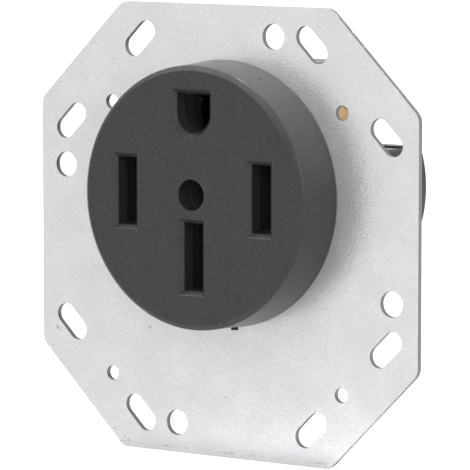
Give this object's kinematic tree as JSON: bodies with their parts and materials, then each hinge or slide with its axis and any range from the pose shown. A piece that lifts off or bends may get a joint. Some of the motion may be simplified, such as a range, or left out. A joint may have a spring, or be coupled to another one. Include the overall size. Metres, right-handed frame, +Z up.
{
  "type": "flush power socket",
  "caption": "Flush-mounting power socket for a four-wire plug: round dark face on a steel plate with cut corners, and a lobed body with box clamps for the wires behind it.",
  "frame": {"origin": "centre of the mounting plate's four box holes, on the plate's rear face", "axes": "+X to the right seen from the front, +Y to the rear (into the wall box), +Z up"},
  "size_m": [0.1, 0.0506, 0.1],
  "materials": {
    "dark_moulding": "matte dark grey thermoset moulding",
    "galvanised_steel": "zinc-plated sheet steel, faintly mottled",
    "contact_brass": "rolled brass, satin",
    "terminal_brass": "machined brass, satin",
    "spring_steel": "tempered spring steel",
    "zinc_steel": "bright zinc-plated steel"
  },
  "bodies": {
    "root": {"mounting_plate": "galvanised_steel", "front_cover": "dark_moulding", "front_insulator": "dark_moulding", "contact_carrier": "dark_moulding", "terminal_body": "dark_moulding", "back_cover": "dark_moulding", "right_contact": "contact_brass", "right_spring": "spring_steel", "right_clamp": "terminal_brass", "right_pressure_plate": "zinc_steel", "right_terminal_screw": "terminal_brass", "ground_contact": "contact_brass", "ground_spring": "spring_steel", "ground_clamp": "terminal_brass", "ground_pressure_plate": "zinc_steel", "ground_terminal_screw": "terminal_brass", "left_contact": "contact_brass", "left_spring": "spring_steel", "left_clamp": "terminal_brass", "left_pressure_plate": "zinc_steel", "left_terminal_screw": "terminal_brass", "neutral_contact": "contact_brass", "neutral_spring": "spring_steel", "neutral_clamp": "terminal_brass", "neutral_pressure_plate": "zinc_steel", "neutral_terminal_screw": "terminal_brass", "ground_strap": "contact_brass", "assembly_screws": "zinc_steel", "centre_screw": "zinc_steel", "centre_nut": "zinc_steel"}
  },
  "joints": []
}
